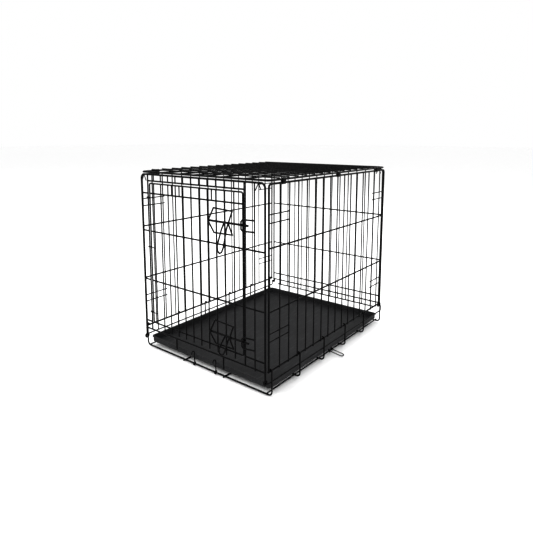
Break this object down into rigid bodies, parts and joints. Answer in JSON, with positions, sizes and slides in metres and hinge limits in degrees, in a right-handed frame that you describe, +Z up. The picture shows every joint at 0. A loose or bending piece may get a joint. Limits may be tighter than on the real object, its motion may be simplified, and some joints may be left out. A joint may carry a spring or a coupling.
{
  "type": "wire dog crate",
  "caption": "Folding dog crate of black welded wire panels with a bolted front door, a sliding plastic floor pan and hinged roof and sides.",
  "frame": {"origin": "on the ground, under the middle of the crate", "axes": "+Z up, -Y towards the door end, +X to the right of someone who looks at the door"},
  "size_m": [0.493, 0.6313, 0.522],
  "materials": {
    "wire": "satin",
    "pan": "matte"
  },
  "bodies": {
    "base": {"hoops": "wire", "runners": "wire", "base_sides": "wire"},
    "tray": {"pan": "pan", "pan_ribs": "pan"},
    "right_side": {"side_right": "wire", "stays_right": "wire"},
    "left_side": {"side_left": "wire", "stays_left": "wire"},
    "top": {"roof": "wire", "straps_right": "wire", "straps_left": "wire"},
    "front_end": {"front_outline": "wire", "front_eyes": "wire", "sill": "wire", "left_post": "wire", "right_post": "wire", "header": "wire", "fingers": "wire", "vees_front": "wire", "keeper_upper": "wire", "keeper_lower": "wire"},
    "rear_end": {"rear_panel": "wire", "rear_eyes": "wire", "vees_rear": "wire"},
    "door_leaf": {"door": "wire", "door_loops": "wire", "guide_upper": "wire", "guide_lower": "wire"},
    "top_bolt": {"bolt_upper": "wire"},
    "bottom_bolt": {"bolt_lower": "wire"},
    "left_stop": {"stop_left": "wire"},
    "right_stop": {"stop_right": "wire"},
    "clip": {"storage_clip": "wire"}
  },
  "joints": [
    {"name": "tube_fold", "type": "hinge", "parent": "base", "child": "left_side", "pos_m": [-0.2261, 0, 0.066], "axis": [0, 1, 0], "range_deg": [0, 84]},
    {"name": "right_side_fold", "type": "hinge", "parent": "base", "child": "right_side", "pos_m": [0.2261, 0, 0.066], "axis": [0, 1, 0], "range_deg": [0, 84]},
    {"name": "roof_fold", "type": "hinge", "parent": "left_side", "child": "top", "pos_m": [-0.2261, 0, 0.50885], "axis": [0, 1, 0], "range_deg": [-84, 0]},
    {"name": "front_fold", "type": "hinge", "parent": "base", "child": "front_end", "pos_m": [0, -0.30435, 0.039], "axis": [-1, 0, 0], "range_deg": [0, 90]},
    {"name": "rear_fold", "type": "hinge", "parent": "base", "child": "rear_end", "pos_m": [0, 0.30435, 0.0565], "axis": [1, 0, 0], "range_deg": [0, 90]},
    {"name": "door_swing", "type": "hinge", "parent": "front_end", "child": "door_leaf", "pos_m": [-0.1935, -0.30435, 0.288], "axis": [0, 0, 1], "range_deg": [-110, 0]},
    {"name": "upper_bolt_slide", "type": "slide", "parent": "door_leaf", "child": "top_bolt", "axis": [1, 0, 0], "range_m": [-0.028, 0]},
    {"name": "lower_bolt_slide", "type": "slide", "parent": "door_leaf", "child": "bottom_bolt", "axis": [1, 0, 0], "range_m": [-0.028, 0]},
    {"name": "pan_slide", "type": "slide", "parent": "base", "child": "tray", "axis": [0, -1, 0], "range_m": [-0.5, 0]},
    {"name": "left_stop_turn", "type": "hinge", "parent": "base", "child": "left_stop", "pos_m": [-0.0335, -0.29305, 0.0054], "axis": [-1, 0, 0], "range_deg": [-70, 0]},
    {"name": "right_stop_turn", "type": "hinge", "parent": "base", "child": "right_stop", "pos_m": [0.0465, -0.29305, 0.0054], "axis": [-1, 0, 0], "range_deg": [-70, 0]},
    {"name": "clip_turn", "type": "hinge", "parent": "base", "child": "clip", "pos_m": [0.218, -0.0005, 0.009], "axis": [0, -1, 0], "range_deg": [0, 45]}
  ],
  "couplings": [
    {"joint": "right_side_fold", "follows": "tube_fold", "ratio": 1},
    {"joint": "roof_fold", "follows": "tube_fold", "ratio": -1}
  ]
}
